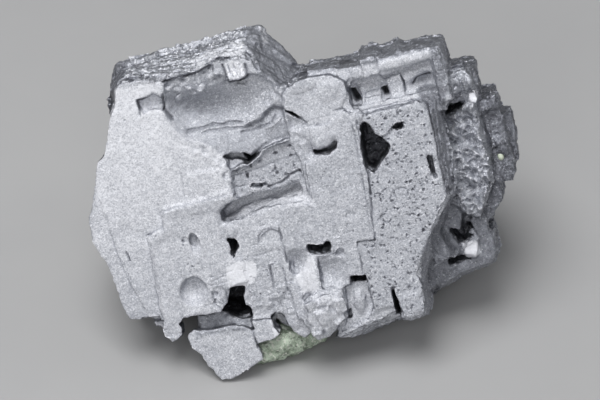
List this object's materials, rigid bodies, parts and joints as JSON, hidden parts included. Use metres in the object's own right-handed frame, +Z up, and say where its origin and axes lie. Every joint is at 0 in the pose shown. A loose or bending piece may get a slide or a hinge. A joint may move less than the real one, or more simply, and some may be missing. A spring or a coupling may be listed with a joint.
{
  "type": "skeletal galena",
  "caption": "Blocky skeletal galena crystal group with stepped plates, hollows and a smooth shell-shaped break, on a little green matrix, leaning back on a flat base.",
  "frame": {"origin": "centre of the bounding box in X and Y, on the plane that the lump lies on", "axes": "+X to the right along the broad front face, -Y out of the side that the front face looks to, +Z up"},
  "size_m": [0.0928, 0.0626, 0.0636],
  "materials": {
    "galena": "matt lead grey with a fine sparkle, metallic on fresh cleavages",
    "green_matrix": "granular, dull grey-green stone",
    "pale_grain": "pale green, waxy grain"
  },
  "bodies": {
    "root": {"galena": "galena", "green_matrix": "green_matrix", "pale_grain": "pale_grain"}
  },
  "joints": []
}
